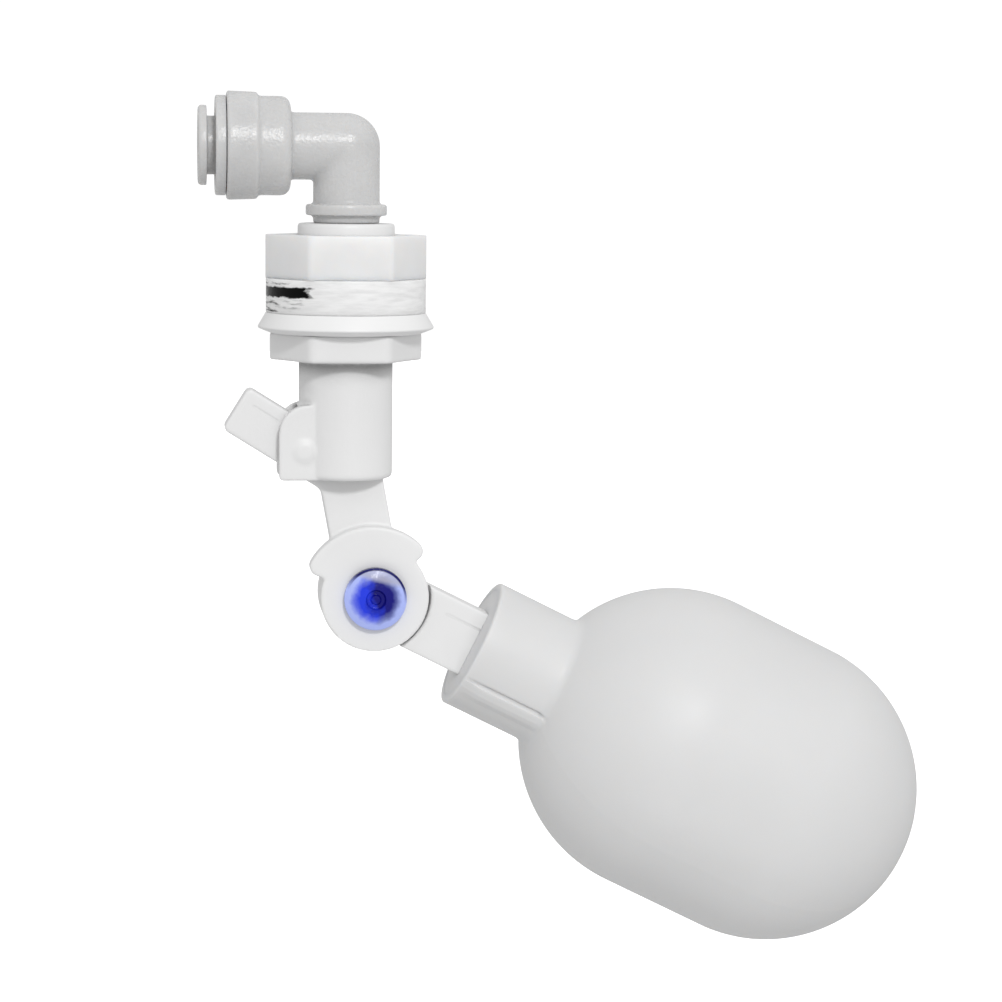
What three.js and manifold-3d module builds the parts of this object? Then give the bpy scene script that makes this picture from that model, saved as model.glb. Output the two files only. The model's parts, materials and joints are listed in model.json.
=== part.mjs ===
// Side-inlet float valve for a water tank: push-in elbow, threaded body with lock nut and gaskets,
// lever that lifts a plunger against the inlet nozzle, and a hollow float on a clamped, adjustable arm.
// Millimetres, +Z up. Origin: on the stem axis, at the top face of the body's hexagonal flange.
// +X points towards the float.

import * as THREE from 'three';
import { mergeVertices } from 'three/addons/utils/BufferGeometryUtils.js';
import Module from 'manifold-3d';

const wasm = await Module();
wasm.setup();

// ---------------------------------------------------------------- driving dimensions (mm)

const GAP = 0.3;                 // clearance kept between separate pieces
const SEGMENTS = 40;             // sides of a large round
const SMALL_SEGMENTS = 24;       // sides of a small round

const TUBE_BORE_R = 3.3;         // takes a 6.35 mm (1/4 inch) plastic tube

const STEM_R = 6.58;             // G1/4 thread, over its crests
const STEM_TOP = 14.85;
const STEM_BORE_R = 4.0;
const STEM_BORE_FLOOR = -1.0;
const STEM_CHAMFER = 0.4;
const FLANGE_FLATS = 18.3;
const FLANGE_BOTTOM = -3.6;
const BODY_R = 6.4;
const BODY_BOTTOM = -19.7;
const BODY_EDGE = 0.7;           // rounding of the body's bottom edge
const CHAMBER_R = 5.2;
const CHAMBER_TOP = -5.0;
const NOZZLE_R = 2.6;
const NOZZLE_TIP = -6.6;
const NOZZLE_BORE_R = 1.6;

const EAR_OUT = 4.7;             // outer face of each ear, from the mid plane
const EAR_IN = 2.9;
const EAR_LEFT = -9.2;
const EAR_RIGHT = -4.0;
const EAR_TOP = -9.5;
const EAR_BOTTOM = -19.75;
const EAR_CORNER = 4.0;
const SLOT_TOP = -9.9;
const NOTCH_RIGHT = 5.6;         // relief for the lever's shoulder inside the body wall
const NOTCH_HALF = 2.5;
const NOTCH_TOP = -15.5;

const NUT_FLATS = 19.2;
const NUT_BOTTOM = 7.4;
const NUT_TOP = 13.3;
const GASKET_R = 10.85;
const GASKET_BOTTOM = 3.1;
const GASKET_TOP = 7.1;
const FLARE_R = 12.05;           // widest radius of the flared gasket
const FLARE_WIDE = 0.75;         // height of that radius
const FLARE_FOOT_R = 10.3;
const FLARE_TOP = 2.8;
const GASKET_EDGE = 0.5;
const FLARE_EDGE = { in: 0.2, below: 0.25, above: 0.3 };   // blunt rim of the flare
const CLEAR_BORE_R = STEM_R + GAP;

const ELBOW_Z = 25.15;           // height of the inlet axis
const PIPE_R = 4.5;
const PIPE_BORE_R = 2.2;
const COLLAR_R = 5.5;
const COLLAR_BOTTOM = 15.9;
const COLLAR_TOP = 17.4;
const SPIGOT_R = 3.6;
const SPIGOT_BOTTOM = 4.0;
const SPIGOT_GROOVE_R = 2.8;
const SPIGOT_GROOVE = [8.2, 10.0];
const SOCKET_RIGHT = -7.6;
const SOCKET_R = 6.65;
const SOCKET_FILLET = 1.2;
const BAND_RIGHT = -12.0;
const BAND_LEFT = -16.2;
const BAND_R_RIGHT = 7.15;
const BAND_R_LEFT = 7.3;
const CARTRIDGE_R = 5.2;
const CARTRIDGE_END = -9.8;
const TUBE_STOP = -7.8;

const CAP_R = 6.7;
const CAP_LEFT = -17.7;
const CAP_BORE_R = 4.25;
const CAP_EDGE = 0.4;
const CAP_SKIRT_R = CARTRIDGE_R - GAP;
const CAP_SKIRT_END = -14.9;
const COLLET_LEFT = -20.0;
const COLLET_FLANGE_R = 5.35;
const COLLET_FLANGE = 1.15;
const COLLET_EDGE = 0.45;
const COLLET_BARREL_R = 3.92;
const COLLET_END = -14.4;
const FINGER_SLOT = 0.7;
const FINGER_LENGTH = 2.6;
const GRIP_RING = [-13.0, -12.5];
const GRIP_TEETH = 12;
const GRIP_NOTCH = { width: 0.4, depth: 0.8 };
const O_RING_X = -11.1;
const O_RING_R = 4.1;
const O_RING_SECTION = 0.7;
const STEM_O_RING_R = 3.42;
const STEM_O_RING_SECTION = 0.3;

const PLUNGER_R = 3.6;
const PLUNGER_TOP = -7.5;
const PLUNGER_BOTTOM = -11.6;
const PLUNGER_RIB_R = 4.75;      // four ribs guide it in the chamber
const PLUNGER_RIB = 0.9;
const TIP_R = 1.3;
const TIP_BOTTOM = -14.25;       // just clear of the lever's bar
const PAD_R = 2.8;
const PAD_BOTTOM = -7.95;
const PAD_TOP = -7.05;

const PIVOT = { x: -5.8, z: -15.8 };
const PIN_R = 1.5;
const PIN_HALF = 5.05;
const PIN_DOME = 0.35;

const LEVER_HALF = 2.35;         // half thickness of the lever and of the float arm
const BAR_SLOPE = 31.8;          // degrees below +X
const BAR_WIDTH = 6.7;
const TAB_LENGTH = 10.8;
const TAB_CORNER = 0.8;
const LEG_LEAN = 10.5;           // degrees off the vertical
const LEG_RIGHT = 4.1;           // each side of the leg, from a line through the joint
const LEG_LEFT = 4.45;
const ELBOW_CORNER = 2.2;        // outer rounding where the bar turns into the leg
const SHOULDER_CORNER = 1.2;

const JOINT = { x: 3.85, z: -35.85 };
const HEAD_R = 7.4;
const HEAD_FRONT = 4.2;          // each arm's round head fills one side of the lap joint
const LAP_GAP = 0.15;
const HEAD_CLEAR_R = 7.85;
const LUG_R = 9.75;
const LUG_SHIFT = 0.3;           // the lugs' arc is centred this far left of the joint
const LUG_FROM = 41;             // degrees, counter-clockwise from +X, seen from -Y
const LUG_TO = 157;
const LUG_BACK = 1.4;
const LUG_CORNER = 1.3;
const SCREW_R = 2.7;
const SCREW_HEAD_R = 4.25;
const SCREW_HEAD = 2.2;
const SCREW_END = 8.4;
const SCREW_EDGE = 0.4;
const SCREW_SLOT = { width: 1.1, length: 5.2, depth: 0.9 };
const JOINT_NUT_FLATS = 10;
const JOINT_NUT = 3.6;

const ARM_SLOPE = 26.7;          // degrees below +X, from the joint to the float
const ARM_WIDTH = 9.25;
const ARM_END = 19.2;
const NECK_START = 15.3;
const NECK_R = 9.2;
const FLOAT_R = 21.45;
const FLOAT_NEAR = 47.0;         // centre of the hemisphere next to the neck
const FLOAT_FAR = 61.95;         // centre of the far hemisphere
const FLOAT_WALL = 1.2;
const NECK_RIB = { width: 2.4, height: 0.35, root: 0.6, start: 17.8, end: 28.9, angle: 35.5 };
const PLUG_R = NECK_R - FLOAT_WALL - GAP;
const PLUG_LENGTH = 4.2;

// ---------------------------------------------------------------- solids

const radians = THREE.MathUtils.degToRad;

/** A manifold solid from a three.js geometry. */
function solid(geometry) {
  const bare = geometry.index ? geometry.toNonIndexed() : geometry.clone();
  bare.deleteAttribute('normal');
  bare.deleteAttribute('uv');
  const merged = mergeVertices(bare, 1e-4);
  const index = merged.index.array;
  const triangles = [];
  for (let i = 0; i < index.length; i += 3) {
    const [a, b, c] = [index[i], index[i + 1], index[i + 2]];
    if (a !== b && b !== c && c !== a) triangles.push(a, b, c);
  }
  return new wasm.Manifold(new wasm.Mesh({
    numProp: 3,
    vertProperties: new Float32Array(merged.attributes.position.array),
    triVerts: new Uint32Array(triangles),
  }));
}

/** A three.js geometry from a manifold solid, with flat faces. */
function geometryOf(body) {
  const mesh = body.getMesh();
  const geometry = new THREE.BufferGeometry();
  const points = new Float32Array(mesh.numVert * 3);
  for (let i = 0; i < mesh.numVert; i += 1) {
    for (let k = 0; k < 3; k += 1) points[i * 3 + k] = mesh.vertProperties[i * mesh.numProp + k];
  }
  geometry.setAttribute('position', new THREE.BufferAttribute(points, 3));
  geometry.setIndex(new THREE.BufferAttribute(new Uint32Array(mesh.triVerts), 1));
  geometry.computeVertexNormals();
  return geometry;
}

const union = (first, ...rest) => rest.reduce((sum, next) => sum.add(next), first);
const cut = (first, ...rest) => rest.reduce((left, next) => left.subtract(next), first);

/** Turned about Z: a closed outline of [radius, height] points, outer side going up. */
function turned(outline, segments = SEGMENTS) {
  const points = outline.map(([r, z]) => new THREE.Vector2(r, z));
  const onAxis = (point) => point.x === 0;
  if (!(onAxis(points[0]) && onAxis(points[points.length - 1]))) points.push(points[0].clone());
  return solid(new THREE.LatheGeometry(points, segments).rotateX(Math.PI / 2));
}

/** The same, about X: the heights run along X. */
function turnedX(outline, segments = SEGMENTS) {
  return turned(outline, segments).rotate([0, 90, 0]);
}

/** Cylinder along Z from z0 to z1. */
function cylinder(radius, z0, z1, segments = SEGMENTS) {
  return turned([[0, z0], [radius, z0], [radius, z1], [0, z1]], segments);
}

/** Cylinder along X from x0 to x1. */
function cylinderX(radius, x0, x1, segments = SEGMENTS) {
  return cylinder(radius, x0, x1, segments).rotate([0, 90, 0]);
}

/** Cylinder along Y from y0 to y1, centred on (x, z). */
function cylinderY(radius, x, z, y0, y1, segments = SEGMENTS) {
  return cylinder(radius, -y1, -y0, segments).rotate([90, 0, 0]).translate([x, 0, z]);
}

/** Box between two corners. */
function box([x0, y0, z0], [x1, y1, z1]) {
  const block = new THREE.BoxGeometry(x1 - x0, y1 - y0, z1 - z0);
  return solid(block.translate((x0 + x1) / 2, (y0 + y1) / 2, (z0 + z1) / 2));
}

/** Hexagonal prism along Z with two flats facing -Y and +Y. */
function hexagon(flats, z0, z1) {
  return cylinder(flats / Math.sqrt(3), z0, z1, 6).rotate([0, 0, 30]);
}

/** An outline in the XZ plane, given thickness from y0 to y1. */
function plate(shape, y0, y1, curveSegments = 8) {
  const options = { depth: y1 - y0, bevelEnabled: false, curveSegments };
  return solid(new THREE.ExtrudeGeometry(shape, options).rotateX(Math.PI / 2).translate(0, y1, 0));
}

/** A closed polygon of {x, z, r} corners, each rounded to its radius r. */
function rounded(corners) {
  const shape = new THREE.Shape();
  corners.forEach((corner, i) => {
    const before = corners[(i + corners.length - 1) % corners.length];
    const after = corners[(i + 1) % corners.length];
    const here = new THREE.Vector2(corner.x, corner.z);
    const back = new THREE.Vector2(before.x, before.z).sub(here).normalize();
    const ahead = new THREE.Vector2(after.x, after.z).sub(here).normalize();
    const half = Math.acos(THREE.MathUtils.clamp(back.dot(ahead), -1, 1)) / 2;
    const run = corner.r / Math.tan(half);
    const start = here.clone().addScaledVector(back, run);
    const end = here.clone().addScaledVector(ahead, run);
    if (i === 0) shape.moveTo(start.x, start.y);
    else shape.lineTo(start.x, start.y);
    if (corner.r > 0) shape.quadraticCurveTo(here.x, here.y, end.x, end.y);
  });
  shape.closePath();
  return shape;
}

/** Ring about Z with a round section. */
function ring(radius, section, z, segments = 20) {
  const sides = 10;
  const outline = [];
  for (let i = 0; i < sides; i += 1) {
    const angle = (i / sides) * Math.PI * 2;
    outline.push([radius + section * Math.cos(angle), z + section * Math.sin(angle)]);
  }
  return turned(outline, segments);
}

/** Points on an arc from angle a0 to a1 (degrees) about (r, z). */
function arc(r, z, radius, a0, a1, steps) {
  return Array.from({ length: steps + 1 }, (_, i) => {
    const angle = radians(a0 + ((a1 - a0) * i) / steps);
    return [r + radius * Math.cos(angle), z + radius * Math.sin(angle)];
  });
}

/** Where two lines cross; each is {nx, nz, d} with nx * x + nz * z = d. */
function cross(a, b) {
  const det = a.nx * b.nz - a.nz * b.nx;
  return { x: (a.d * b.nz - a.nz * b.d) / det, z: (a.nx * b.d - a.d * b.nx) / det };
}

// ---------------------------------------------------------------- looks

const LOOKS = {
  acetal: { color: 0xd0d0d0, roughness: 0.35, metalness: 0 },
  nylon: { color: 0xe2e2e0, roughness: 0.4, metalness: 0 },
  siliconeClear: { color: 0xdededd, roughness: 0.15, metalness: 0 },
  siliconeWhite: { color: 0xe6e6e6, roughness: 0.5, metalness: 0 },
  white: { color: 0xdddddd, roughness: 0.45, metalness: 0 },
  floatWhite: { color: 0xd9d9d9, roughness: 0.5, metalness: 0 },
  blue: { color: 0x2a55c8, roughness: 0.25, metalness: 0 },
  blackRubber: { color: 0x1a1a1a, roughness: 0.7, metalness: 0 },
  stainless: { color: 0xb8b8b8, roughness: 0.3, metalness: 1 },
};

function mesh(name, body, look) {
  const item = new THREE.Mesh(geometryOf(body), new THREE.MeshStandardMaterial(LOOKS[look]));
  item.name = name;
  return item;
}

// ---------------------------------------------------------------- body and clamp

function ears() {
  const side = rounded([
    { x: EAR_LEFT, z: EAR_BOTTOM, r: 0.5 },
    { x: EAR_RIGHT, z: EAR_BOTTOM, r: 0 },
    { x: EAR_RIGHT, z: EAR_TOP, r: 0 },
    { x: EAR_LEFT, z: EAR_TOP, r: EAR_CORNER },
  ]);
  return plate(side, -EAR_OUT, EAR_OUT);
}

function valveBody() {
  const barrel = turned([
    [0, BODY_BOTTOM],
    ...arc(BODY_R - BODY_EDGE, BODY_BOTTOM + BODY_EDGE, BODY_EDGE, -90, 0, 3),
    [BODY_R, FLANGE_BOTTOM + 1],
    [0, FLANGE_BOTTOM + 1],
  ]);
  const stem = turned([
    [0, -1], [STEM_R, -1], [STEM_R, STEM_TOP - STEM_CHAMFER],
    [STEM_R - STEM_CHAMFER, STEM_TOP], [0, STEM_TOP],
  ]);
  const outside = union(barrel, stem, hexagon(FLANGE_FLATS, FLANGE_BOTTOM, 0), ears());
  const chamber = cut(
    cylinder(CHAMBER_R, EAR_BOTTOM - 1, CHAMBER_TOP),
    cylinder(NOZZLE_R, NOZZLE_TIP, CHAMBER_TOP + 1, SMALL_SEGMENTS),
  );
  return cut(
    outside,
    chamber,
    cylinder(STEM_BORE_R, STEM_BORE_FLOOR, STEM_TOP + 1),
    cylinder(NOZZLE_BORE_R, NOZZLE_TIP - 1, STEM_BORE_FLOOR + 1, SMALL_SEGMENTS),
    box([EAR_LEFT - 1, -EAR_IN, EAR_BOTTOM - 1], [0, EAR_IN, SLOT_TOP]),
    box([-1, -NOTCH_HALF, BODY_BOTTOM - 1], [NOTCH_RIGHT, NOTCH_HALF, NOTCH_TOP]),
    cylinderY(PIN_R + GAP, PIVOT.x, PIVOT.z, -EAR_OUT - 1, EAR_OUT + 1, SMALL_SEGMENTS),
  );
}

function lockNut() {
  return cut(hexagon(NUT_FLATS, NUT_BOTTOM, NUT_TOP), cylinder(CLEAR_BORE_R, NUT_BOTTOM - 1, NUT_TOP + 1));
}

function clearGasket() {
  return turned([
    [CLEAR_BORE_R, GASKET_BOTTOM], [GASKET_R - GASKET_EDGE, GASKET_BOTTOM],
    [GASKET_R, GASKET_BOTTOM + GASKET_EDGE], [GASKET_R, GASKET_TOP], [CLEAR_BORE_R, GASKET_TOP],
  ]);
}

function flaredGasket() {
  return turned([
    [CLEAR_BORE_R, GAP], [FLARE_FOOT_R, GAP], [FLARE_R - FLARE_EDGE.in, FLARE_WIDE - FLARE_EDGE.below],
    [FLARE_R, FLARE_WIDE], [FLARE_R - FLARE_EDGE.in / 2, FLARE_WIDE + FLARE_EDGE.above],
    [GASKET_R, FLARE_TOP], [CLEAR_BORE_R, FLARE_TOP],
  ]);
}

function pivotPin() {
  return cylinderY(PIN_R, PIVOT.x, PIVOT.z, -PIN_HALF + PIN_DOME, PIN_HALF - PIN_DOME, SMALL_SEGMENTS)
    .add(cylinderY(PIN_R - PIN_DOME, PIVOT.x, PIVOT.z, -PIN_HALF, PIN_HALF, SMALL_SEGMENTS));
}

// ---------------------------------------------------------------- inlet elbow and push-in fitting

function elbowBody() {
  const socket = turnedX([
    [0, BAND_LEFT], [BAND_R_LEFT, BAND_LEFT], [BAND_R_RIGHT, BAND_RIGHT], [SOCKET_R, BAND_RIGHT],
    ...arc(SOCKET_R - SOCKET_FILLET, SOCKET_RIGHT - SOCKET_FILLET, SOCKET_FILLET, 0, 90, 3),
    [0, SOCKET_RIGHT],
  ]).translate([0, 0, ELBOW_Z]);
  const corner = solid(new THREE.SphereGeometry(PIPE_R, SMALL_SEGMENTS, 16)).translate([0, 0, ELBOW_Z]);
  const outside = union(
    socket,
    cylinderX(PIPE_R, SOCKET_RIGHT - 1, 0).translate([0, 0, ELBOW_Z]),
    corner,
    cylinder(PIPE_R, STEM_TOP + GAP, ELBOW_Z),
    cylinder(COLLAR_R, COLLAR_BOTTOM, COLLAR_TOP),
    cylinder(SPIGOT_R, SPIGOT_BOTTOM, STEM_TOP + 1, SMALL_SEGMENTS),
  );
  const groove = turned([
    [SPIGOT_GROOVE_R, SPIGOT_GROOVE[0]], [SPIGOT_R + 1, SPIGOT_GROOVE[0]],
    [SPIGOT_R + 1, SPIGOT_GROOVE[1]], [SPIGOT_GROOVE_R, SPIGOT_GROOVE[1]],
  ], SMALL_SEGMENTS);
  return cut(
    outside,
    groove,
    cylinder(PIPE_BORE_R, SPIGOT_BOTTOM - 1, ELBOW_Z, SMALL_SEGMENTS),
    solid(new THREE.SphereGeometry(PIPE_BORE_R, 16, 10)).translate([0, 0, ELBOW_Z]),
    cylinderX(PIPE_BORE_R, TUBE_STOP - 1, 0, SMALL_SEGMENTS).translate([0, 0, ELBOW_Z]),
    cylinderX(TUBE_BORE_R, CARTRIDGE_END - 1, TUBE_STOP, SMALL_SEGMENTS).translate([0, 0, ELBOW_Z]),
    cylinderX(CARTRIDGE_R, BAND_LEFT - 1, CARTRIDGE_END).translate([0, 0, ELBOW_Z]),
  );
}

function colletCap() {
  return turnedX([
    [CAP_BORE_R, CAP_LEFT], [CAP_R - CAP_EDGE, CAP_LEFT], [CAP_R, CAP_LEFT + CAP_EDGE],
    [CAP_R, BAND_LEFT - GAP], [CAP_SKIRT_R, BAND_LEFT - GAP],
    [CAP_SKIRT_R, CAP_SKIRT_END], [CAP_BORE_R, CAP_SKIRT_END],
  ]).translate([0, 0, ELBOW_Z]);
}

function collet() {
  const flangeRight = COLLET_LEFT + COLLET_FLANGE;
  const sleeve = turnedX([
    [TUBE_BORE_R, COLLET_LEFT], [COLLET_FLANGE_R - COLLET_EDGE, COLLET_LEFT],
    [COLLET_FLANGE_R, COLLET_LEFT + COLLET_EDGE], [COLLET_FLANGE_R, flangeRight],
    [COLLET_BARREL_R, flangeRight], [COLLET_BARREL_R, COLLET_END], [TUBE_BORE_R, COLLET_END],
  ], 32);
  const reach = COLLET_BARREL_R + 1;
  const start = COLLET_END - FINGER_LENGTH;
  const half = FINGER_SLOT / 2;
  return cut(
    sleeve,
    box([start, -reach, -half], [COLLET_END + 1, reach, half]),
    box([start, -half, -reach], [COLLET_END + 1, half, reach]),
  ).translate([0, 0, ELBOW_Z]);
}

function gripRing() {
  const [left, right] = GRIP_RING;
  const outer = CARTRIDGE_R - GAP;
  const half = GRIP_NOTCH.width / 2;
  let washer = turnedX([[TUBE_BORE_R, left], [outer, left], [outer, right], [TUBE_BORE_R, right]], 32);
  for (let i = 0; i < GRIP_TEETH; i += 1) {
    const notch = box([left - 1, -half, 0], [right + 1, half, TUBE_BORE_R + GRIP_NOTCH.depth]);
    washer = washer.subtract(notch.rotate([(360 / GRIP_TEETH) * i, 0, 0]));
  }
  return washer.translate([0, 0, ELBOW_Z]);
}

function tubeORing() {
  return ring(O_RING_R, O_RING_SECTION, O_RING_X).rotate([0, 90, 0]).translate([0, 0, ELBOW_Z]);
}

function stemORing() {
  return ring(STEM_O_RING_R, STEM_O_RING_SECTION, (SPIGOT_GROOVE[0] + SPIGOT_GROOVE[1]) / 2);
}

// ---------------------------------------------------------------- plunger and lever

function plunger() {
  const half = PLUNGER_RIB / 2;
  const ribs = union(
    box([-PLUNGER_RIB_R, -half, PLUNGER_BOTTOM], [PLUNGER_RIB_R, half, PLUNGER_TOP]),
    box([-half, -PLUNGER_RIB_R, PLUNGER_BOTTOM], [half, PLUNGER_RIB_R, PLUNGER_TOP]),
  );
  return cut(
    union(
      cylinder(PLUNGER_R, PLUNGER_BOTTOM, PLUNGER_TOP, SMALL_SEGMENTS),
      ribs,
      cylinder(TIP_R, TIP_BOTTOM, PLUNGER_BOTTOM + 1, 16),
    ),
    cylinder(PAD_R + GAP, PAD_BOTTOM - GAP, PLUNGER_TOP + 1, SMALL_SEGMENTS),
  );
}

function sealPad() {
  return cylinder(PAD_R, PAD_BOTTOM, PAD_TOP, SMALL_SEGMENTS);
}

/** Side outline of the lever's tab, bar and leg. */
function leverOutline() {
  const bar = { x: Math.cos(radians(BAR_SLOPE)), z: -Math.sin(radians(BAR_SLOPE)) };
  const leg = { x: Math.sin(radians(LEG_LEAN)), z: -Math.cos(radians(LEG_LEAN)) };
  const across = (axis, point, offset) => {
    const [nx, nz] = [-axis.z, axis.x];
    return { nx, nz, d: nx * point.x + nz * point.z + offset };
  };
  const barTop = across(bar, PIVOT, BAR_WIDTH / 2);
  const barBottom = across(bar, PIVOT, -BAR_WIDTH / 2);
  const end = { nx: bar.x, nz: bar.z, d: bar.x * PIVOT.x + bar.z * PIVOT.z - TAB_LENGTH };
  const legRight = across(leg, JOINT, LEG_RIGHT);
  const legLeft = across(leg, JOINT, -LEG_LEFT);
  const foot = { nx: leg.x, nz: leg.z, d: leg.x * JOINT.x + leg.z * JOINT.z };
  return rounded([
    { ...cross(barTop, end), r: TAB_CORNER },
    { ...cross(barBottom, end), r: TAB_CORNER },
    { ...cross(barBottom, legLeft), r: ELBOW_CORNER },
    { ...cross(foot, legLeft), r: 0 },
    { ...cross(foot, legRight), r: 0 },
    { ...cross(barTop, legRight), r: SHOULDER_CORNER },
  ]);
}

/** A sector whose two outer corners are rounded. */
function lugs() {
  const middle = JOINT.x - LUG_SHIFT;
  const inset = THREE.MathUtils.radToDeg(LUG_CORNER / LUG_R);
  const [near, far] = [LUG_FROM + inset, LUG_TO - inset];
  const corner = (angle, from, to) => {
    const inner = LUG_R - LUG_CORNER;
    const [x, z] = [middle + inner * Math.cos(radians(angle)), JOINT.z + inner * Math.sin(radians(angle))];
    return arc(x, z, LUG_CORNER, from, to, 4);
  };
  const points = [
    [middle, JOINT.z],
    ...corner(near, near - 90, near),
    ...arc(middle, JOINT.z, LUG_R, near, far, 16).slice(1, -1),
    ...corner(far, far, far + 90),
  ];
  const sector = new THREE.Shape(points.map(([x, z]) => new THREE.Vector2(x, z)));
  return plate(sector, -HEAD_FRONT, -LUG_BACK);
}

function leverArm() {
  const bar = cut(
    plate(leverOutline(), -LEVER_HALF, LEVER_HALF),
    cylinderY(HEAD_CLEAR_R, JOINT.x, JOINT.z, -LAP_GAP, HEAD_FRONT + 1),
  );
  return cut(
    union(bar, cylinderY(HEAD_R, JOINT.x, JOINT.z, -HEAD_FRONT, -LAP_GAP), lugs()),
    cylinderY(PIN_R + GAP, PIVOT.x, PIVOT.z, -HEAD_FRONT, HEAD_FRONT, SMALL_SEGMENTS),
    cylinderY(SCREW_R + GAP, JOINT.x, JOINT.z, -HEAD_FRONT - 1, HEAD_FRONT, SMALL_SEGMENTS),
  );
}

// ---------------------------------------------------------------- float arm, about the joint, along +X

function floatArm() {
  const bar = cut(
    box([0, -LEVER_HALF, -ARM_WIDTH / 2], [ARM_END, LEVER_HALF, ARM_WIDTH / 2]),
    cylinderY(HEAD_CLEAR_R, 0, 0, -HEAD_FRONT - 1, LAP_GAP),
  );
  return cut(
    union(bar, cylinderY(HEAD_R, 0, 0, LAP_GAP, HEAD_FRONT)),
    cylinderY(SCREW_R + GAP, 0, 0, -1, HEAD_FRONT + 1, SMALL_SEGMENTS),
  );
}

function jointScrew() {
  const headBack = -HEAD_FRONT - GAP;
  const headFront = headBack - SCREW_HEAD;
  const head = turned([
    [0, -headBack], [SCREW_HEAD_R, -headBack], [SCREW_HEAD_R, -headFront - SCREW_EDGE],
    [SCREW_HEAD_R - SCREW_EDGE, -headFront], [0, -headFront],
  ]).rotate([90, 0, 0]);
  const slot = box(
    [-SCREW_SLOT.length / 2, headFront - 1, -SCREW_SLOT.width / 2],
    [SCREW_SLOT.length / 2, headFront + SCREW_SLOT.depth, SCREW_SLOT.width / 2],
  );
  return cut(union(head, cylinderY(SCREW_R, 0, 0, headBack - 1, SCREW_END, SMALL_SEGMENTS)), slot);
}

function jointNut() {
  const back = HEAD_FRONT + GAP;
  return cut(
    hexagon(JOINT_NUT_FLATS, -back - JOINT_NUT, -back),
    cylinder(SCREW_R + GAP, -back - JOINT_NUT - 1, -back + 1, SMALL_SEGMENTS),
  ).rotate([90, 0, 0]);
}

function neckPlug() {
  return cut(
    cylinderX(PLUG_R, NECK_START, NECK_START + PLUG_LENGTH, 32),
    box(
      [NECK_START - 1, -LEVER_HALF - GAP, -ARM_WIDTH / 2 - GAP],
      [NECK_START + PLUG_LENGTH + 1, LEVER_HALF + GAP, ARM_WIDTH / 2 + GAP],
    ),
  );
}

function floatShell() {
  const innerR = FLOAT_R - FLOAT_WALL;
  const innerNeck = NECK_R - FLOAT_WALL;
  const meet = (radius, neck) => 180 - THREE.MathUtils.radToDeg(Math.asin(neck / radius));
  const shell = turnedX([
    [innerNeck, NECK_START],
    [NECK_R, NECK_START],
    ...arc(FLOAT_NEAR, 0, FLOAT_R, meet(FLOAT_R, NECK_R), 90, 9).map(([x, r]) => [r, x]),
    ...arc(FLOAT_FAR, 0, FLOAT_R, 90, 0, 9).map(([x, r]) => [Math.max(r, 0), x]).slice(0, -1),
    [0, FLOAT_FAR + FLOAT_R],
    [0, FLOAT_FAR + innerR],
    ...arc(FLOAT_FAR, 0, innerR, 0, 90, 7).map(([x, r]) => [r, x]).slice(1),
    ...arc(FLOAT_NEAR, 0, innerR, 90, meet(innerR, innerNeck), 7).map(([x, r]) => [r, x]),
  ]);
  const rib = box(
    [NECK_RIB.start, -NECK_RIB.width / 2, -NECK_R - NECK_RIB.height],
    [NECK_RIB.end, NECK_RIB.width / 2, -NECK_R + NECK_RIB.root],
  ).rotate([-(90 - NECK_RIB.angle), 0, 0]);
  return shell.add(rib);
}

// ---------------------------------------------------------------- assembly

const group = new THREE.Group();
group.add(
  mesh('valve_body', valveBody(), 'white'),
  mesh('lock_nut', lockNut(), 'nylon'),
  mesh('clear_gasket', clearGasket(), 'siliconeClear'),
  mesh('flared_gasket', flaredGasket(), 'siliconeWhite'),
  mesh('pivot_pin', pivotPin(), 'white'),
  mesh('elbow_body', elbowBody(), 'acetal'),
  mesh('collet_cap', colletCap(), 'acetal'),
  mesh('collet', collet(), 'acetal'),
  mesh('grip_ring', gripRing(), 'stainless'),
  mesh('tube_o_ring', tubeORing(), 'blackRubber'),
  mesh('stem_o_ring', stemORing(), 'blackRubber'),
  mesh('plunger', plunger(), 'acetal'),
  mesh('seal_pad', sealPad(), 'blackRubber'),
  mesh('lever_arm', leverArm(), 'white'),
);

const armGroup = new THREE.Group();
armGroup.position.set(JOINT.x, 0, JOINT.z);
armGroup.rotation.y = radians(ARM_SLOPE);
armGroup.add(
  mesh('float_arm', floatArm(), 'white'),
  mesh('joint_screw', jointScrew(), 'blue'),
  mesh('joint_nut', jointNut(), 'nylon'),
  mesh('neck_plug', neckPlug(), 'white'),
  mesh('float_shell', floatShell(), 'floatWhite'),
);
group.add(armGroup);

export default group;
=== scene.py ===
"""Looks of the float valve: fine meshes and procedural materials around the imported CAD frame."""

import json
import math

import bmesh
import bpy
from mathutils import Matrix, Vector


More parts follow.
